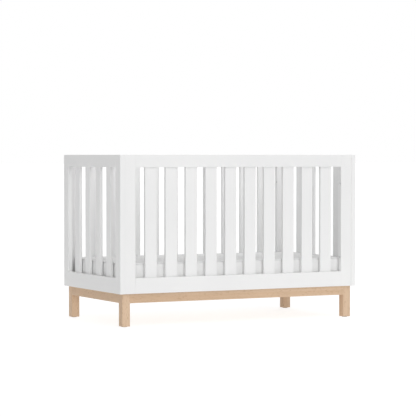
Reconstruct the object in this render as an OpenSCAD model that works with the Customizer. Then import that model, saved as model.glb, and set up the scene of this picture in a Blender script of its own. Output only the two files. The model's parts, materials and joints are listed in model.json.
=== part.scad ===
// Baby crib: a white painted body of four slatted panels on a natural wood base with
// four square legs, and a slatted mattress base with three height settings.
// +Z is up, +X runs along the crib, the front faces -Y, and the origin is on the floor
// under the middle of the crib.

/* [Body] */
// Length over the outer faces of the two end panels
body_l = 1450; // [1300:10:1600]
// Width over the front and back edges of the end panels
body_w = 760; // [700:5:860]
// Height of the painted body above its base
body_h = 735; // [650:5:820]
// Height of every top rail
top_rail_h = 66; // [50:1:90]
// Height of every bottom rail
bottom_rail_h = 83; // [75:1:110]
// Radius of the eased edges on rails, posts and slats
ease = 1.2; // [0.8:0.1:2.5]

/* [Front and back panels] */
// Thickness of the front and back panels
side_t = 28; // [26:1:34]
// How far the front and back panels sit inside the end panels' edges
side_recess = 4; // [1:1:8]
// Width of the front and back panels' stiles
side_stile_w = 65; // [55:1:80]
// Number of slats in the front and back panels
side_slat_count = 10; // [8:1:10]
// Width of a front or back slat
side_slat_w = 68; // [50:1:75]
// Distance from one front or back slat to the next
side_pitch = 119.9; // [110:0.1:122]
// Thickness of a front or back slat
side_slat_t = 18; // [14:1:18]

/* [End panels] */
// Thickness of the end panels
end_t = 25; // [24:1:30]
// Width of the end panels' stiles
end_stile_w = 62; // [55:1:75]
// Number of slats in each end panel
end_slat_count = 4; // [3:1:5]
// Width of an end slat
end_slat_w = 60; // [45:1:65]
// Thickness of an end slat
end_slat_t = 15; // [13:1:16]

/* [Base] */
// Side of the square legs
leg_w = 45; // [40:1:55]
// Height of the legs without their glides
leg_h = 173; // [130:1:220]
// Height of the aprons between the legs
apron_h = 50; // [45:1:70]
// Thickness of the aprons
apron_t = 22; // [18:1:26]
// How far the base stands inside the body's faces
base_inset = 20; // [15:1:23]

/* [Mattress base] */
// Thickness of the mattress
mattress_t = 105; // [80:5:120]
// Width of a mattress base slat
deck_slat_w = 70; // [60:1:80]
// Number of mattress base slats
deck_slat_count = 12; // [10:1:13]
// Distance between two height settings
level_step = 130; // [110:5:140]

/* [Hidden] */
$fn = 48;

PAINT = [0.93, 0.93, 0.93];
BEECH = [0.83, 0.72, 0.60];
PINE = [0.88, 0.78, 0.60];
STEEL = [0.72, 0.73, 0.75];
PLASTIC = [0.55, 0.53, 0.50];
TICKING = [0.90, 0.90, 0.90];

eps = 0.5;                                  // how far a cut runs past a face
fit = 0.05;                                 // radial clearance of a pin in its hole
mortise_fit = 0.1;                          // clearance round a tenon
hole_fit = 0.3;                             // radial clearance of a hole that a bolt runs through
spare = 1;                                  // a blind hole is this much deeper than its pin
lap = 1;                                    // how far joined shapes run into each other
glide_h = 3;
body_z = glide_h + leg_h;                   // underside of the painted body
top_z = body_z + body_h;
bottom_rail_top = body_z + bottom_rail_h;
end_x = body_l / 2;                         // outer face of an end panel
inner_x = end_x - end_t;                    // inner face of an end panel
side_y = body_w / 2 - side_recess;          // outer face of a front or back panel
inner_y = side_y - side_t;                  // inner face of a front or back panel
side_rail_x = inner_x - side_stile_w;       // where a front stile meets its rails
end_rail_y = body_w / 2 - end_stile_w;      // where an end stile meets its rails
slat_back = 1;                              // slats stop this far inside the inner face
slat_len = body_h - top_rail_h - bottom_rail_h;
tenon_l = 12;
tenon_shoulder = 4;

// Panel bolts run along X, through a front or back stile into an end stile.
bolt_r = 3;
bolt_y = side_y - side_t / 2;
bolt_inset = 162;                           // from a stile's ends to its bolts
bolt_levels = [body_z + bolt_inset, top_z - bolt_inset];
bolt_bore_r = 3.5;
bolt_head_r = 5.5;
bolt_head_h = 5;
bolt_pocket_r = 7;
bolt_pocket_l = 7;
insert_l = 14;
insert_r = 4.4;
socket_r = 2.3;                             // hexagon socket in the bolt heads
socket_l = 3;

// Mattress base ("deck"), which rests on four brackets at the lowest setting.
deck_slat_t = 15;
deck_rail_h = 30;
deck_rail_w = 25;
deck_gap_x = 8;                             // end gap, for the brackets and their bolt heads
deck_gap_y = 6;
bracket_t = 3;
bracket_w = 26;
bracket_reach = 42;
bracket_h = 40;
deck_rise = 10;
deck_z = body_z + deck_rise;                // underside of the deck's rails
deck_top = deck_z + deck_rail_h + deck_slat_t;
deck_x = inner_x - deck_gap_x;
deck_y = inner_y - deck_gap_y;
bracket_gap = 2;                            // from a bracket to the front or back panel
level_y = inner_y - bracket_w / 2 - bracket_gap;
level_rise = 22;                            // from the deck's underside to its bolts
level_z = deck_z + level_rise;
levels = [for (i = [0 : 2]) level_z + i * level_step];
deck_pitch = (2 * deck_x - deck_slat_w) / (deck_slat_count - 1);
mattress_gap = 3;                           // from the mattress to the panels round it
mattress_r = 60;

// Base
leg_x = end_x - base_inset;                 // outer faces of the legs
leg_y = body_w / 2 - base_inset;
apron_z = body_z - apron_h;
leg_chamfer = 8;                            // flat on a leg's inner corner, for its plate
plate_t = 3;
plate_h = 38;
plate_flange = 32;
hanger_r = 4;
hanger_z = body_z - apron_h / 2;
fixing_y = (leg_y + inner_y) / 2;           // middle of the overlap of panel and base

// --- shapes ---------------------------------------------------------------------------

// Rectangle a by b from the origin, with eased corners.
module eased_rect(a, b) {
    translate([ease, 0]) square([a - 2 * ease, b]);
    translate([0, ease]) square([a, b - 2 * ease]);
    for (x = [ease, a - ease], y = [ease, b - ease]) translate([x, y]) circle(r = ease);
}

// Upright bar, with its long edges eased.
module post(at, a, b, h) translate(at) linear_extrude(h) eased_rect(a, b);

// Bar along X, t deep and h high.
module bar_x(at, l, t, h) translate(at) rotate([90, 0, 90]) linear_extrude(l) eased_rect(t, h);

// Bar along Y, t wide and h high.
module bar_y(at, t, l, h)
    translate(at + [0, l, 0]) rotate([90, 0, 0]) linear_extrude(l) eased_rect(t, h);

// Cylinders that start at a point and run along X, Y or Z.
module rod_x(at, r, l) translate(at) rotate([0, 90, 0]) cylinder(r = r, h = l);
module rod_y(at, r, l) translate(at) rotate([-90, 0, 0]) cylinder(r = r, h = l);
module rod_z(at, r, l) translate(at) cylinder(r = r, h = l);

module at_back() mirror([0, 1, 0]) children();
module at_right() mirror([1, 0, 0]) children();
module at_four_corners()
    for (mx = [0, 1], my = [0, 1]) mirror([mx, 0, 0]) mirror([0, my, 0]) children();

// --- slats and the joints in the frames --------------------------------------------------

function side_slat_x(i) = (i - (side_slat_count - 1) / 2) * side_pitch;
end_pitch = (2 * end_rail_y + end_slat_w) / (end_slat_count + 1);
function end_slat_y(i) = (i - (end_slat_count - 1) / 2) * end_pitch;
side_slat_y = -inner_y - slat_back - side_slat_t / 2;
end_slat_x = -inner_x - slat_back - end_slat_t / 2;

// A slat w by t, centred on X and Y, with a tenon at both ends; grow widens its tenons.
module tenons(w, t, grow) {
    for (z = [-tenon_l - grow, slat_len - eps])
        translate([-w / 2 + tenon_shoulder - grow, -t / 2 + tenon_shoulder - grow, z])
            cube([w - 2 * tenon_shoulder + 2 * grow, t - 2 * tenon_shoulder + 2 * grow,
                  tenon_l + eps + grow]);
}
module slat(w, t) {
    translate([-w / 2, -t / 2, 0]) linear_extrude(slat_len) eased_rect(w, t);
    tenons(w, t, 0);
}
module side_slat_places()
    for (i = [0 : side_slat_count - 1]) translate([side_slat_x(i), side_slat_y, bottom_rail_top])
        children();
module end_slat_places()
    for (i = [0 : end_slat_count - 1]) translate([end_slat_x, end_slat_y(i), bottom_rail_top])
        rotate([0, 0, 90]) children();

// Heights of the two dowels at each end of a rail.
dowel_r = 4;
dowel_l = 25;                               // how far a dowel reaches into each piece
dowel_share = 0.2;                          // from a rail's edges to its dowels, as a share of it
function dowel_zs(z, h) = [z + dowel_share * h, z + (1 - dowel_share) * h];
rail_dowel_zs = concat(dowel_zs(body_z, bottom_rail_h), dowel_zs(top_z - top_rail_h, top_rail_h));
module side_dowels(r, extra) for (z = rail_dowel_zs)
    rod_x([-side_rail_x - dowel_l - extra, -bolt_y, z], r, 2 * (dowel_l + extra));
module end_dowels(r, extra) for (z = rail_dowel_zs)
    rod_y([-inner_x - end_t / 2, -end_rail_y - dowel_l - extra, z], r, 2 * (dowel_l + extra));
module frame_dowels() color(BEECH) at_four_corners() {
    side_dowels(dowel_r, 0);
    end_dowels(dowel_r, 0);
}

// --- front and back panels: drawn at the front, mirrored to the back -----------------------

module side_rail(z, h) difference() {
    bar_x([-side_rail_x, -side_y, z], 2 * side_rail_x, side_t, h);
    side_slat_places() tenons(side_slat_w, side_slat_t, mortise_fit);
    for (m = [0, 1]) mirror([m, 0, 0]) side_dowels(dowel_r + fit, spare);
    for (x = body_screw_x) rod_z([x, -fixing_y, body_z - eps], screw_r + fit, screw_bite + eps);
}
module side_stile() difference() {
    post([-inner_x, -side_y, body_z], side_stile_w, side_t, body_h);
    side_dowels(dowel_r + fit, spare);
    for (z = bolt_levels) {
        rod_x([-inner_x - eps, -bolt_y, z], bolt_bore_r, side_stile_w + 2 * eps);
        rod_x([-side_rail_x - bolt_pocket_l, -bolt_y, z], bolt_pocket_r, bolt_pocket_l + eps);
    }
    rod_z([-leg_dowel_x, -fixing_y, body_z - eps], leg_dowel_r + fit,
          leg_dowel_l + spare + eps);
}

module front_top_rail() color(PAINT) side_rail(top_z - top_rail_h, top_rail_h);
module front_bottom_rail() color(PAINT) side_rail(body_z, bottom_rail_h);
module front_left_stile() color(PAINT) side_stile();
module front_right_stile() color(PAINT) at_right() side_stile();
module front_slats() color(PAINT) side_slat_places() slat(side_slat_w, side_slat_t);
module back_top_rail() color(PAINT) at_back() side_rail(top_z - top_rail_h, top_rail_h);
module back_bottom_rail() color(PAINT) at_back() side_rail(body_z, bottom_rail_h);
module back_left_stile() color(PAINT) at_back() side_stile();
module back_right_stile() color(PAINT) at_back() at_right() side_stile();
module back_slats() color(PAINT) at_back() side_slat_places() slat(side_slat_w, side_slat_t);

// --- end panels: drawn at the left, mirrored to the right ----------------------------------

module end_rail(z, h) difference() {
    bar_y([-end_x, -end_rail_y, z], end_t, 2 * end_rail_y, h);
    end_slat_places() tenons(end_slat_w, end_slat_t, mortise_fit);
    for (m = [0, 1]) mirror([0, m, 0]) end_dowels(dowel_r + fit, spare);
}
module end_stile() difference() {
    post([-end_x, -body_w / 2, body_z], end_t, end_stile_w, body_h);
    end_dowels(dowel_r + fit, spare);
    for (z = bolt_levels)
        rod_x([-inner_x - insert_l - spare, -bolt_y, z], insert_r + fit, insert_l + spare + eps);
    for (z = levels)
        rod_x([-inner_x - insert_l - spare, -level_y, z], insert_r + fit, insert_l + spare + eps);
}

module left_end_top_rail() color(PAINT) end_rail(top_z - top_rail_h, top_rail_h);
module left_end_bottom_rail() color(PAINT) end_rail(body_z, bottom_rail_h);
module left_end_front_stile() color(PAINT) end_stile();
module left_end_back_stile() color(PAINT) at_back() end_stile();
module left_end_slats() color(PAINT) end_slat_places() slat(end_slat_w, end_slat_t);
module right_end_top_rail() color(PAINT) at_right() end_rail(top_z - top_rail_h, top_rail_h);
module right_end_bottom_rail() color(PAINT) at_right() end_rail(body_z, bottom_rail_h);
module right_end_front_stile() color(PAINT) at_right() end_stile();
module right_end_back_stile() color(PAINT) at_right() at_back() end_stile();
module right_end_slats() color(PAINT) at_right() end_slat_places() slat(end_slat_w, end_slat_t);

// --- panel fasteners ------------------------------------------------------------------------

// Bolt along -X from its seat at the origin: cap head with a hexagon socket.
module cap_bolt(length) difference() {
    union() {
        rod_x([-length, 0, 0], bolt_r, length);
        rod_x([0, 0, 0], bolt_head_r, bolt_head_h);
    }
    hex_socket([bolt_head_h - socket_l, 0, 0]);
}
module hex_socket(at)
    translate(at) rotate([0, 90, 0]) cylinder(r = socket_r, h = socket_l + eps, $fn = 6);
// Threaded insert along -X from its mouth at the origin.
module insert() difference() {
    rod_x([-insert_l, 0, 0], insert_r, insert_l);
    rod_x([-insert_l - eps, 0, 0], bolt_r + fit, insert_l + 2 * eps);
}

panel_bolt_l = side_stile_w - bolt_pocket_l + insert_l - 2;     // stops 2 short in the insert
module panel_bolts() color(STEEL) at_four_corners() for (z = bolt_levels)
    translate([-side_rail_x - bolt_pocket_l, -bolt_y, z]) cap_bolt(panel_bolt_l);
module panel_inserts() color(STEEL) at_four_corners() for (z = bolt_levels)
    translate([-inner_x, -bolt_y, z]) insert();

// --- base: drawn at the front left, mirrored to the other corners ---------------------------

screw_r = 2.2;
screw_head_h = 3;
screw_bite = 26;                            // depth of a body screw in a bottom rail
body_screw_gap = 360;
body_screw_x = [for (i = [-1.5 : 1.5]) i * body_screw_gap];
body_screw_pocket = 20;                     // depth of the pocket for a body screw's head
leg_dowel_r = 3;
leg_dowel_l = 20;                           // how far a dowel reaches into leg and stile
leg_dowel_x = leg_x - leg_w / 2;
glide_r = 14;
nail_r = 1.5;
nail_l = 12;

// Moves children to a leg's outer corner, with +X and +Y running under the crib, and the
// diagonal form turns +X on the line through the leg's inner corner.
module leg_corner() translate([-leg_x, -leg_y, 0]) children();
module leg_diagonal() leg_corner() rotate([0, 0, 45]) children();
plate_d = leg_w * sqrt(2) - leg_chamfer / sqrt(2);

module leg() difference() {
    leg_corner() post([0, 0, glide_h], leg_w, leg_w, leg_h);
    leg_diagonal() translate([plate_d, -leg_w, apron_z]) cube([leg_w, 2 * leg_w, apron_h + eps]);
    leg_diagonal() rod_x([plate_d - hanger_bite - spare, 0, hanger_z], hanger_r + fit,
                         hanger_bite + spare + eps);
    rod_z([-leg_dowel_x, -fixing_y, body_z - leg_dowel_l - spare], leg_dowel_r + fit,
          leg_dowel_l + spare + eps);
    leg_corner() rod_z([leg_w / 2, leg_w / 2, glide_h - eps], nail_r + fit,
                       nail_l + spare + eps);
}
module front_left_leg() color(BEECH) leg();
module front_right_leg() color(BEECH) at_right() leg();
module back_left_leg() color(BEECH) at_back() leg();
module back_right_leg() color(BEECH) at_right() at_back() leg();

plate_screw_gap = 20;                       // from one screw of a flange to the other
plate_screw_zs = [hanger_z - plate_screw_gap / 2, hanger_z + plate_screw_gap / 2];
plate_bend_u = plate_d * sqrt(2) - apron_t; // where the web meets an apron
plate_bend = 6;                             // flange under the end of the web
plate_screw_u = plate_bend_u + plate_bend + plate_flange / 2;
plate_screw_r = 2;
plate_screw_l = 15;
pan_head_r = 4;
pan_head_h = 2.4;
module plate_screw_holes(r) at_four_corners() leg_corner() for (z = plate_screw_zs) {
    start = apron_t - plate_screw_l - spare;
    depth = plate_screw_l + spare + plate_t + eps;
    rod_y([plate_screw_u, start, z], r, depth);
    rod_x([start, plate_screw_u, z], r, depth);
}
module long_apron() difference() {
    bar_x([leg_w - leg_x, -leg_y, apron_z], 2 * (leg_x - leg_w), apron_t, apron_h);
    plate_screw_holes(plate_screw_r + fit);
    for (x = body_screw_x) {
        rod_z([x, -fixing_y, apron_z - eps], screw_r + hole_fit, apron_h + 2 * eps);
        rod_z([x, -fixing_y, apron_z - eps], 2 * (screw_r + hole_fit),
              body_screw_pocket + eps);
    }
}
module short_apron() difference() {
    bar_y([-leg_x, leg_w - leg_y, apron_z], apron_t, 2 * (leg_y - leg_w), apron_h);
    plate_screw_holes(plate_screw_r + fit);
}
module front_apron() color(BEECH) long_apron();
module back_apron() color(BEECH) at_back() long_apron();
module left_apron() color(BEECH) short_apron();
module right_apron() color(BEECH) at_right() short_apron();

// Bent steel plate across a corner: a web on the leg's flat and a flange on each apron.
plate_web_l = 2 * (plate_d - apron_t * sqrt(2));
plate_room = 3 * leg_w;                     // square between the aprons that a plate keeps to
module corner_plates() color(STEEL) at_four_corners() difference() {
    intersection() {
        union() {
            leg_diagonal() translate([plate_d, -plate_web_l, hanger_z - plate_h / 2])
                cube([plate_t, 2 * plate_web_l, plate_h]);
            leg_corner() translate([plate_bend_u, apron_t, hanger_z - plate_h / 2])
                cube([plate_flange + plate_bend, plate_t, plate_h]);
            leg_corner() translate([apron_t, plate_bend_u, hanger_z - plate_h / 2])
                cube([plate_t, plate_flange + plate_bend, plate_h]);
        }
        leg_corner() translate([apron_t, apron_t, apron_z]) cube([plate_room, plate_room, apron_h]);
    }
    leg_diagonal() rod_x([plate_d - eps, 0, hanger_z], hanger_r + hole_fit, plate_t + 2 * eps);
    plate_screw_holes(plate_screw_r + hole_fit);
}

// Pan head screws that hold the plates to the aprons.
module plate_screw() {
    rod_z([0, 0, -plate_screw_l], plate_screw_r, plate_screw_l + plate_t + lap);
    rod_z([0, 0, plate_t], pan_head_r, pan_head_h);
}
module corner_plate_screws() color(STEEL) at_four_corners() leg_corner()
    for (z = plate_screw_zs) {
        translate([plate_screw_u, apron_t, z]) rotate([-90, 0, 0]) plate_screw();
        translate([apron_t, plate_screw_u, z]) rotate([0, 90, 0]) plate_screw();
    }

hanger_bite = 30;                           // thread in the leg
hanger_tail = 14;                           // thread past the plate
nut_r = 7.5;
nut_h = 6.5;
module hanger_bolts() color(STEEL) at_four_corners() leg_diagonal()
    rod_x([plate_d - hanger_bite, 0, hanger_z], hanger_r, hanger_bite + plate_t + hanger_tail);
module hanger_nuts() color(STEEL) at_four_corners() leg_diagonal() difference() {
    translate([plate_d + plate_t, 0, hanger_z]) rotate([0, 90, 0])
        cylinder(r = nut_r, h = nut_h, $fn = 6);
    rod_x([plate_d, 0, hanger_z], hanger_r + fit, plate_t + nut_h + eps);
}

module leg_dowels() color(BEECH) at_four_corners()
    rod_z([-leg_dowel_x, -fixing_y, body_z - leg_dowel_l], leg_dowel_r, 2 * leg_dowel_l);
module body_screws() color(STEEL) for (m = [0, 1]) mirror([0, m, 0]) for (x = body_screw_x) {
    rod_z([x, -fixing_y, apron_z + body_screw_pocket - screw_head_h], 2 * screw_r, screw_head_h);
    rod_z([x, -fixing_y, apron_z + body_screw_pocket - lap], screw_r,
          lap + apron_h - body_screw_pocket + screw_bite - spare);
}
module foot_glides() color(PLASTIC) at_four_corners() leg_corner() {
    rod_z([leg_w / 2, leg_w / 2, 0], glide_r, glide_h);
    rod_z([leg_w / 2, leg_w / 2, glide_h - lap], nail_r, nail_l + lap);
}

// --- mattress base and its brackets ----------------------------------------------------------

module level_brackets() color(STEEL) at_four_corners() difference() {
    translate([-inner_x, -level_y - bracket_w / 2, deck_z - bracket_t]) {
        cube([bracket_reach, bracket_w, bracket_t]);
        cube([bracket_t, bracket_w, bracket_h]);
    }
    rod_x([-inner_x - eps, -level_y, level_z], bolt_r + hole_fit, bracket_t + 2 * eps);
}
level_bite = 12;
level_head_r = 5;
level_head_h = 3.5;
level_socket_l = 2;
module level_bolts() color(STEEL) at_four_corners() difference() {
    union() {
        rod_x([-inner_x - level_bite, -level_y, level_z], bolt_r, level_bite + bracket_t);
        rod_x([-inner_x + bracket_t, -level_y, level_z], level_head_r, level_head_h);
    }
    hex_socket([-inner_x + bracket_t + level_head_h - level_socket_l, -level_y, level_z]);
}
module level_inserts() color(STEEL) at_four_corners() for (z = levels)
    translate([-inner_x, -level_y, z]) insert();

function deck_slat_x(i) = -deck_x + deck_slat_w / 2 + i * deck_pitch;
deck_screw_y = deck_y - deck_rail_w / 2;
deck_screw_l = 30;
deck_screw_r = 1.8;
deck_screw_head = 2.2;
module deck_screw(grow) {
    translate([0, 0, -deck_screw_l]) cylinder(r = deck_screw_r + grow, h = deck_screw_l);
    translate([0, 0, -deck_screw_head])
        cylinder(r1 = deck_screw_r + grow, r2 = 2 * deck_screw_r + grow, h = deck_screw_head);
}
module deck_screw_places() for (m = [0, 1]) mirror([0, m, 0]) for (i = [0 : deck_slat_count - 1])
    translate([deck_slat_x(i), -deck_screw_y, deck_top]) children();

module deck_side() difference() {
    bar_x([-deck_x, -deck_y, deck_z], 2 * deck_x, deck_rail_w, deck_rail_h);
    deck_screw_places() deck_screw(fit);
}
module deck_end() bar_y([-deck_x, deck_rail_w - deck_y, deck_z], deck_rail_w,
                        2 * (deck_y - deck_rail_w), deck_rail_h);
module deck_front_rail() color(PINE) deck_side();
module deck_back_rail() color(PINE) at_back() deck_side();
module deck_left_rail() color(PINE) deck_end();
module deck_right_rail() color(PINE) at_right() deck_end();
module deck_slats() color(PINE) difference() {
    for (i = [0 : deck_slat_count - 1])
        bar_y([deck_slat_x(i) - deck_slat_w / 2, -deck_y, deck_z + deck_rail_h],
              deck_slat_w, 2 * deck_y, deck_slat_t);
    deck_screw_places() deck_screw(fit);
}
module deck_screws() color(STEEL) deck_screw_places() deck_screw(0);

module mattress() color(TICKING) {
    mx = inner_x - mattress_gap;
    my = inner_y - mattress_gap;
    translate([-mx, mattress_r - my, deck_top])
        cube([2 * mx, 2 * (my - mattress_r), mattress_t]);
    translate([mattress_r - mx, -my, deck_top])
        cube([2 * (mx - mattress_r), 2 * my, mattress_t]);
    at_four_corners() rod_z([mattress_r - mx, mattress_r - my, deck_top], mattress_r, mattress_t);
}

// --- what is drawn ---------------------------------------------------------------------------

front_top_rail();
front_bottom_rail();
front_left_stile();
front_right_stile();
front_slats();
back_top_rail();
back_bottom_rail();
back_left_stile();
back_right_stile();
back_slats();
left_end_top_rail();
left_end_bottom_rail();
left_end_front_stile();
left_end_back_stile();
left_end_slats();
right_end_top_rail();
right_end_bottom_rail();
right_end_front_stile();
right_end_back_stile();
right_end_slats();
front_left_leg();
front_right_leg();
back_left_leg();
back_right_leg();
front_apron();
back_apron();
left_apron();
right_apron();
corner_plates();
corner_plate_screws();
hanger_bolts();
hanger_nuts();
foot_glides();
leg_dowels();
body_screws();
frame_dowels();
panel_bolts();
panel_inserts();
level_brackets();
level_bolts();
level_inserts();
deck_front_rail();
deck_back_rail();
deck_left_rail();
deck_right_rail();
deck_slats();
deck_screws();
mattress();
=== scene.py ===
"""Looks of the baby crib: painted and natural wood, steel, and a quilted mattress."""
import json
import math

import bmesh
import bpy
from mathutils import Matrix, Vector


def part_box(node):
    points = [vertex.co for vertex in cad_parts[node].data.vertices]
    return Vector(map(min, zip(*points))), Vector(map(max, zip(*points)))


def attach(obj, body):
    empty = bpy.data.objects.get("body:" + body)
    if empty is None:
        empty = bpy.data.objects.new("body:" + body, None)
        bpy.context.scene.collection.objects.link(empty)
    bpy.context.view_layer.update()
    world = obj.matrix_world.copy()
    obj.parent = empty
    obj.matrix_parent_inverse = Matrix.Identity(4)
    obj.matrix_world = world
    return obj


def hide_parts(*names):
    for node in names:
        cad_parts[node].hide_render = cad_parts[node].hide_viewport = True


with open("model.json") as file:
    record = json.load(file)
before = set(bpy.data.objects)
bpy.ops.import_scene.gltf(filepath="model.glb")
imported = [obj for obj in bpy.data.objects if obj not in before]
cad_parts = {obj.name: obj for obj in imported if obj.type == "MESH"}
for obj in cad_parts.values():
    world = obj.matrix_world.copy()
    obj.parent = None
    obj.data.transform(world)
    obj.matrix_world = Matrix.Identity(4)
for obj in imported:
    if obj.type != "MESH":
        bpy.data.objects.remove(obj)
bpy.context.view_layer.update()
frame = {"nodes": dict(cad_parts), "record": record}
nodes = frame["nodes"]
MM = 0.001


# --- materials --------------------------------------------------------------------------


class Maker:
    """One material and its node tree. Uniform values are set on the shader itself."""

    def __init__(self, name, **values):
        self.material = bpy.data.materials.new(name)
        self.material.use_nodes = True
        self.tree = self.material.node_tree
        self.shader = self.tree.nodes["Principled BSDF"]
        for socket, value in values.items():
            self.shader.inputs[socket.replace("_", " ")].default_value = value

    def node(self, kind, inputs=(), **settings):
        made = self.tree.nodes.new("ShaderNode" + kind)
        for name, value in settings.items():
            setattr(made, name, value)
        for socket, value in dict(inputs).items():
            if isinstance(value, bpy.types.NodeSocket):
                self.tree.links.new(value, made.inputs[socket])
            else:
                made.inputs[socket].default_value = value
        return made

    def place(self, scale=(1, 1, 1)):
        """The point in the crib's own frame, stretched by scale."""
        at = self.node("TexCoord").outputs["Object"]
        return self.node("Mapping", {"Vector": at, "Scale": scale}).outputs["Vector"]

    def noise(self, scale, stretch=(1, 1, 1), detail=3.0, distortion=0.0):
        """Noise from 0 to 1, with scale cells in a metre before the stretch."""
        return self.node("TexNoise", {
            "Vector": self.place(stretch), "Scale": scale, "Detail": detail,
            "Distortion": distortion}).outputs["Fac"]

    def ramp(self, factor, *stops):
        """stops are (place, colour) pairs."""
        made = self.node("ValToRGB", {"Fac": factor})
        bar = made.color_ramp
        while len(bar.elements) < len(stops):
            bar.elements.new(0.5)
        for element, (place, colour) in zip(bar.elements, stops):
            element.position = place
            element.color = (*colour, 1)
        return made.outputs["Color"]

    def mix(self, factor, first, second, how="MIX"):
        made = self.node("Mix", data_type="RGBA", blend_type=how)
        for index, value in ((0, factor), (6, first), (7, second)):
            if isinstance(value, bpy.types.NodeSocket):
                self.tree.links.new(value, made.inputs[index])
            else:
                made.inputs[index].default_value = value
        return made.outputs[2]

    def math(self, how, first, second=0.0):
        return self.node("Math", {0: first, 1: second}, operation=how).outputs[0]

    def spread(self, factor, low, high):
        """factor from 0 to 1, taken to low to high."""
        return self.node("MapRange", {"Value": factor, "To Min": low, "To Max": high}).outputs[0]

    def bump(self, height, distance, strength=1.0, under=None):
        inputs = {"Height": height, "Distance": distance, "Strength": strength}
        if under is not None:
            inputs["Normal"] = under
        return self.node("Bump", inputs).outputs["Normal"]

    def put(self, socket, value):
        self.tree.links.new(value, self.shader.inputs[socket])


# Stretches that turn noise into long streaks along one axis
ALONG = {"x": (0.05, 1, 1), "y": (1, 0.05, 1), "z": (1, 1, 0.05)}
FLECK_STRETCH = 0.16               # the same for the wood's short flecks
FLECK_STRENGTH = 0.55


def white_paint(axis):
    """Satin paint with roller stipple, over wood whose grain just shows through."""
    make = Maker("white_paint_" + axis, IOR=1.48, Specular_IOR_Level=0.45)
    tone = make.noise(2.2, detail=2.0)
    make.put("Base Color", make.ramp(tone, (0.3, (0.795, 0.796, 0.796)), (0.7, (0.825, 0.825, 0.823))))
    stipple = make.noise(620.0, detail=2.0)
    make.put("Roughness", make.spread(make.noise(35.0, ALONG[axis]), 0.36, 0.50))
    grain = make.noise(170.0, ALONG[axis], detail=4.0)
    under = make.bump(grain, 0.04 * MM, 0.3)
    make.put("Normal", make.bump(stipple, 0.03 * MM, 0.4, under))
    return make.material


def lacquered_wood(name, axis, light, dark, fleck, contrast):
    """Clear matt lacquer on wood: growth bands, fine pores and short dark flecks."""
    make = Maker(name + "_" + axis, IOR=1.46, Specular_IOR_Level=0.35)
    bands = make.noise(16.0, ALONG[axis], detail=5.0, distortion=0.9)
    tone = make.ramp(bands, (0.32, dark), (0.62, light))
    drift = make.ramp(make.noise(2.6), (0.3, (1 - contrast,) * 3), (0.7, (1, 1, 1)))
    tone = make.mix(1.0, tone, drift, "MULTIPLY")
    short = tuple(FLECK_STRETCH if step < 1 else 1.0 for step in ALONG[axis])
    flecks = make.ramp(make.noise(310.0, short, detail=1.0), (0.60, (0, 0, 0)), (0.70, (1, 1, 1)))
    tone = make.mix(make.math("MULTIPLY", flecks, FLECK_STRENGTH), tone, (*fleck, 1))
    make.put("Base Color", tone)
    pores = make.noise(420.0, ALONG[axis], detail=3.0)
    make.put("Roughness", make.spread(pores, 0.44, 0.62))
    make.put("Normal", make.bump(pores, 0.15 * MM, 0.6, make.bump(bands, 0.1 * MM, 0.4)))
    return make.material


def beech(axis):
    """Pale beech of the legs and aprons."""
    return lacquered_wood("beech", axis, (0.684, 0.502, 0.352), (0.610, 0.430, 0.287),
                          (0.43, 0.27, 0.16), 0.06)


def dowel(axis):
    """Darker beech of the dowels."""
    return lacquered_wood("dowel", axis, (0.66, 0.48, 0.31), (0.55, 0.38, 0.22),
                          (0.36, 0.22, 0.12), 0.10)


def pine(axis):
    """Yellow pine of the mattress base."""
    return lacquered_wood("pine", axis, (0.78, 0.60, 0.38), (0.60, 0.40, 0.20),
                          (0.42, 0.24, 0.10), 0.16)


def zinc(axis):
    """Zinc plate: a bright metal with a fine spangle and faint drawing marks."""
    make = Maker("zinc_" + axis, Metallic=1.0)
    spangle = make.noise(240.0, detail=2.0)
    make.put("Base Color", make.ramp(spangle, (0.3, (0.56, 0.57, 0.60)), (0.7, (0.74, 0.75, 0.76))))
    marks = make.noise(900.0, ALONG[axis], detail=2.0)
    make.put("Roughness", make.spread(marks, 0.26, 0.46))
    make.put("Normal", make.bump(marks, 0.03 * MM, 0.5))
    return make.material


def glide(axis):
    """Moulded plastic with a spark-eroded grain."""
    make = Maker("glide_" + axis, IOR=1.5)
    eroded = make.noise(1300.0, detail=2.0)
    make.put("Base Color", make.ramp(eroded, (0.3, (0.25, 0.24, 0.22)), (0.7, (0.30, 0.29, 0.27))))
    make.put("Roughness", make.spread(eroded, 0.45, 0.65))
    make.put("Normal", make.bump(eroded, 0.05 * MM, 0.6))
    return make.material


THREAD_SHARE = 0.5                 # of the weave in the cloth's relief, beside its slub


def woven(make, pitch, distance):
    """A plain weave from two sets of threads pitch apart: its bump, its weave and its slub."""
    turns = 2 * math.pi / pitch
    at = make.node("SeparateXYZ", {"Vector": make.place()}).outputs
    across = make.math("SINE", make.math("MULTIPLY", at["X"], turns))
    upward = make.math("ADD", at["Y"], at["Z"])
    along = make.math("SINE", make.math("MULTIPLY", upward, turns))
    weave = make.math("MULTIPLY", across, along)
    slub = make.noise(700.0, detail=3.0)
    height = make.math("ADD", make.math("MULTIPLY", weave, THREAD_SHARE), slub)
    return make.bump(height, distance, 0.7), weave, slub


def ticking():
    """Soft white cotton cover with a close weave and a little slub; its colour is a little darker in
    the weave's hollows, as painted shade.
    """
    make = Maker("ticking", Roughness=0.92, Sheen_Weight=0.25, Sheen_Roughness=0.5,
                 Specular_IOR_Level=0.2)
    normal, weave, slub = woven(make, 1.6 * MM, 0.25 * MM)
    cloth = make.ramp(slub, (0.3, (0.765, 0.765, 0.765)), (0.7, (0.825, 0.825, 0.82)))
    # Painted shade: the cloth's colour is up to 3% darker where the weave's threads dip, as shade in
    # the hollows.
    painted_weave_shade = make.ramp(make.spread(weave, 0, 1), (0.2, (0.97,) * 3), (0.8, (1, 1, 1)))
    make.put("Base Color", make.mix(1.0, cloth, painted_weave_shade, "MULTIPLY"))
    make.put("Normal", normal)
    return make.material


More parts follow.
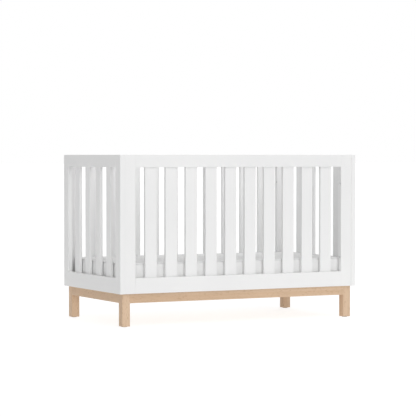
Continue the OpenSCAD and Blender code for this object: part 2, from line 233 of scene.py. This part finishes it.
def piping_tape():
    """Tightly woven binding on the mattress's edges."""
    make = Maker("piping_tape", Roughness=0.8, Sheen_Weight=0.2, Specular_IOR_Level=0.25)
    normal, _, slub = woven(make, 0.9 * MM, 0.2 * MM)
    make.put("Base Color", make.ramp(slub, (0.3, (0.74, 0.745, 0.75)), (0.7, (0.80, 0.80, 0.80))))
    make.put("Normal", normal)
    return make.material


FINISHES = {"white_paint": white_paint, "natural_beech": beech, "zinc_steel": zinc,
            "dowel_beech": dowel, "deck_pine": pine, "glide_plastic": glide}


def grain_axis(name):
    """The axis that a node's grain runs along: slats stand or cross, the rest is longest."""
    if name == "deck_slats":
        return "y"
    if name.endswith("slats") or name == "leg_dowels":
        return "z"
    low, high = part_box(name)
    size = high - low
    return "xyz"[max(range(3), key=lambda i: size[i])]


def dress_nodes():
    """Gives every hard node its finish, one material for each slot and grain axis."""
    made = {}
    for part in frame["record"]["subparts"]:
        name, slot = part["node"], part["material_slot"]
        if slot not in FINISHES:
            continue
        key = (slot, grain_axis(name))
        if key not in made:
            made[key] = FINISHES[slot](key[1])
        data = nodes[name].data
        data.materials.clear()
        data.materials.append(made[key])


# --- mattress -----------------------------------------------------------------------------

CORNER_R = 60 * MM                 # corner radius of the mattress, as its CAD solid has
SIDE_BULGE = 2.0 * MM              # room left for the sides to swell into
CELL = 11 * MM                     # size of the mesh's cells on the top and bottom
SIDE_ROWS = 8                      # rows of cells on the sides
QUILT = 8                          # cells from one quilting line to the next
QUILT_DEPTH = 7.0 * MM             # how deep a quilting line is drawn in
PIPING_R = 2.6 * MM
PIPING_SIDES = 10
PUFF_CAP = 6 * MM                  # how far a point may move as the cover swells
SWELL_STEPS = 20
CLOTH = {"vertex_group_mass": "sewn", "use_pressure": True, "uniform_pressure_force": 4.0,
         "quality": 6, "mass": 0.3, "tension_stiffness": 15, "bending_stiffness": 1.5}


def plan_points(half_x, half_y, radius, count_x, count_y):
    """Grid over a rectangle whose corner squares are drawn in to quarter discs."""
    def spot(i, j):
        x = (2 * i / count_x - 1) * half_x
        y = (2 * j / count_y - 1) * half_y
        u = (abs(x) - (half_x - radius)) / radius
        v = (abs(y) - (half_y - radius)) / radius
        if u > 0 and v > 0:
            pull = max(u, v) / math.hypot(u, v)
            x = math.copysign(half_x - radius + u * pull * radius, x)
            y = math.copysign(half_y - radius + v * pull * radius, y)
        return x, y
    return spot


def border(count_x, count_y):
    """Grid places round the edge, in order."""
    ring = [(i, 0) for i in range(count_x)]
    ring += [(count_x, j) for j in range(count_y)]
    ring += [(i, count_y) for i in range(count_x, 0, -1)]
    return ring + [(0, j) for j in range(count_y, 0, -1)]


def mattress_shell(low, high):
    """A closed grid mesh: the piece, its sewn and resting points, its outline and its heights."""
    half_x = high.x - SIDE_BULGE
    half_y = high.y - SIDE_BULGE
    top_z = high.z - PIPING_R
    count_x, count_y = (QUILT * round(2 * half / CELL / QUILT) for half in (half_x, half_y))
    spot = plan_points(half_x, half_y, CORNER_R, count_x, count_y)
    mesh = bmesh.new()
    layers = []
    for z in (low.z, top_z):
        layer = {}
        for i in range(count_x + 1):
            for j in range(count_y + 1):
                vert = mesh.verts.new((*spot(i, j), z))
                layer[i, j] = vert
        layers.append(layer)
    bottom, top = layers
    for i in range(count_x):
        for j in range(count_y):
            corners = ((i, j), (i + 1, j), (i + 1, j + 1), (i, j + 1))
            mesh.faces.new([top[c] for c in corners])
            mesh.faces.new([bottom[c] for c in reversed(corners)])
    ring = border(count_x, count_y)
    rows = [[bottom[c] for c in ring]]
    for k in range(1, SIDE_ROWS):
        z = low.z + (top_z - low.z) * k / SIDE_ROWS
        rows.append([mesh.verts.new((*spot(*c), z)) for c in ring])
    rows.append([top[c] for c in ring])
    for under, over in zip(rows, rows[1:]):
        for k in range(len(ring)):
            after = (k + 1) % len(ring)
            mesh.faces.new((under[k], under[after], over[after], over[k]))
    mesh.verts.index_update()
    sewn = {v.index for v in rows[0] + rows[-1]} | {v.index for v in bottom.values()}
    edge = set(ring)
    inner = [c for c in top if c not in edge]
    for i, j in inner:
        if i % QUILT == 0 or j % QUILT == 0:
            top[i, j].co.z -= QUILT_DEPTH
            sewn.add(top[i, j].index)
    outline = [Vector((*spot(*c), 0)) for c in ring]
    data = bpy.data.meshes.new("mattress_cover")
    mesh.normal_update()
    mesh.to_mesh(data)
    mesh.free()
    piece = bpy.data.objects.new("mattress_cover", data)
    bpy.context.scene.collection.objects.link(piece)
    return piece, sewn, outline, (low.z, top_z)


def swell(piece, sewn):
    """Cloth simulation: the cover swells between its seams, each point by PUFF_CAP at most."""
    start = [v.co.copy() for v in piece.data.vertices]
    group = piece.vertex_groups.new(name="sewn")
    group.add(sorted(sewn), 1.0, "REPLACE")
    cloth = piece.modifiers.new("swell", "CLOTH")
    for name, value in CLOTH.items():
        setattr(cloth.settings, name, value)
    cloth.settings.effector_weights.gravity = 0
    scene = bpy.context.scene
    for step in range(SWELL_STEPS):
        scene.frame_set(step + 1)
    swollen = piece.evaluated_get(bpy.context.evaluated_depsgraph_get()).data
    moved = [v.co.copy() for v in swollen.vertices]
    piece.modifiers.remove(cloth)
    scene.frame_set(1)
    for vert, was, now in zip(piece.data.vertices, start, moved):
        move = now - was
        if move.length > PUFF_CAP:
            move *= PUFF_CAP / move.length
        vert.co = was + move


def soften(piece):
    """Rounds the piece with one subdivision, applied."""
    sub = piece.modifiers.new("soften", "SUBSURF")
    sub.levels = 1
    sub.render_levels = 1
    depsgraph = bpy.context.evaluated_depsgraph_get()
    piece.data = bpy.data.meshes.new_from_object(piece.evaluated_get(depsgraph))
    piece.modifiers.clear()
    for face in piece.data.polygons:
        face.use_smooth = True


def piping(name, outline, z):
    """A closed tube of binding along the outline at height z."""
    mesh = bmesh.new()
    rings = []
    count = len(outline)
    for k, at in enumerate(outline):
        ahead = (outline[(k + 1) % count] - outline[k - 1]).normalized()
        out = Vector((ahead.y, -ahead.x, 0))
        ring = []
        for s in range(PIPING_SIDES):
            angle = 2 * math.pi * s / PIPING_SIDES
            off = out * math.cos(angle) + Vector((0, 0, math.sin(angle)))
            ring.append(mesh.verts.new(at + Vector((0, 0, z)) + off * PIPING_R))
        rings.append(ring)
    for k in range(count):
        here, there = rings[k], rings[(k + 1) % count]
        for s in range(PIPING_SIDES):
            t = (s + 1) % PIPING_SIDES
            mesh.faces.new((here[s], there[s], there[t], here[t]))
    bmesh.ops.recalc_face_normals(mesh, faces=mesh.faces)
    data = bpy.data.meshes.new(name)
    mesh.to_mesh(data)
    mesh.free()
    for face in data.polygons:
        face.use_smooth = True
    piece = bpy.data.objects.new(name, data)
    bpy.context.scene.collection.objects.link(piece)
    return piece


def make_mattress():
    """The quilted cover and its piping, in place of the plain CAD solid."""
    low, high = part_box("mattress")
    cover, sewn, outline, (low_z, top_z) = mattress_shell(low, high)
    swell(cover, sewn)
    soften(cover)
    cover.data.materials.append(ticking())
    edges = [piping("mattress_piping_top", outline, top_z),
             piping("mattress_piping_bottom", outline, low_z + PIPING_R)]
    tape = piping_tape()
    for edge in edges:
        edge.data.materials.append(tape)
    for piece in (cover, *edges):
        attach(piece, "mattress")
    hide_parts("mattress")


# --- stage, light and camera ----------------------------------------------------------------


CAMERA_AT = (-4.7091, -9.0850, 0.9002)
CAMERA_TURN = 27.351               # degrees, round to the left
CAMERA_DIP = 1.610                 # degrees below level
SENSOR_MM = 36.0
LENS_MM = 157.58
FLOOR_SIZE = 400
FLOOR_GREY = 0.30
FLOOR_GLOW = 0.80                  # the floor's own light, which keeps its shadows faint
WORLD_LIGHT = 0.07
WORLD_SEEN = 1.0
# The wide, soft lights: the way that each one shines, and its strength
SUNS = {"key": ((0.05, 1, -0.9), 1.30), "low": ((0.1, 1, -0.35), 0.50),
        "side": ((1, 0.3, -0.8), 0.62), "rear": ((-0.6, -1, -0.6), 1.20)}
SUN_SPREAD = math.radians(60)
SOFTBOX_W = 12.0
SOFTBOX_SIZE = (1.2, 0.7)
SOFTBOX_AT = (-0.1, -0.1, 2.6)


def make_floor():
    """A pale floor out to the horizon."""
    bpy.ops.mesh.primitive_plane_add(size=FLOOR_SIZE)
    floor = bpy.context.object
    floor.name = "floor"
    make = Maker("pale_floor", Roughness=0.9, Base_Color=(*(FLOOR_GREY,) * 3, 1),
                 Emission_Color=(1, 1, 1, 1), Emission_Strength=FLOOR_GLOW)
    floor.data.materials.append(make.material)


def make_world():
    """Even studio light, and a white backdrop where the camera sees it."""
    world = bpy.data.worlds.new("studio")
    bpy.context.scene.world = world
    world.use_nodes = True
    tree = world.node_tree
    tree.nodes.clear()
    out = tree.nodes.new("ShaderNodeOutputWorld")
    choose = tree.nodes.new("ShaderNodeMixShader")
    path = tree.nodes.new("ShaderNodeLightPath")
    for index, strength in ((1, WORLD_LIGHT), (2, WORLD_SEEN)):
        light = tree.nodes.new("ShaderNodeBackground")
        light.inputs["Strength"].default_value = strength
        light.inputs["Color"].default_value = (1, 1, 1, 1)
        tree.links.new(light.outputs[0], choose.inputs[index])
    tree.links.new(path.outputs["Is Camera Ray"], choose.inputs[0])
    tree.links.new(choose.outputs[0], out.inputs[0])


def make_sun(name, toward, strength):
    """A soft light that shines along toward, the same all over the floor."""
    data = bpy.data.lights.new(name, "SUN")
    data.angle = SUN_SPREAD
    data.energy = strength
    light = bpy.data.objects.new(name, data)
    light.rotation_euler = Vector(toward).to_track_quat("-Z", "Y").to_euler()
    bpy.context.scene.collection.objects.link(light)


def make_softbox():
    """A soft light over the open top, which reaches the inside faces and the mattress."""
    data = bpy.data.lights.new("softbox", "AREA")
    data.shape = "RECTANGLE"
    data.size, data.size_y = SOFTBOX_SIZE
    data.energy = SOFTBOX_W
    light = bpy.data.objects.new("softbox", data)
    light.location = SOFTBOX_AT
    light.visible_camera = False
    bpy.context.scene.collection.objects.link(light)


def make_camera():
    """The viewpoint: round to the left, level with the top rail, through a long lens."""
    data = bpy.data.cameras.new("camera")
    data.sensor_width = SENSOR_MM
    data.lens = LENS_MM
    data.clip_end = 1.5 * FLOOR_SIZE
    camera = bpy.data.objects.new("camera", data)
    camera.location = CAMERA_AT
    camera.rotation_euler = (math.radians(90 - CAMERA_DIP), 0, math.radians(-CAMERA_TURN))
    bpy.context.scene.collection.objects.link(camera)
    bpy.context.scene.camera = camera


make_camera()
dress_nodes()
make_mattress()
make_floor()
make_world()
for sun, (toward, strength) in SUNS.items():
    make_sun(sun, toward, strength)
make_softbox()
bpy.context.scene.view_settings.view_transform = "Standard"
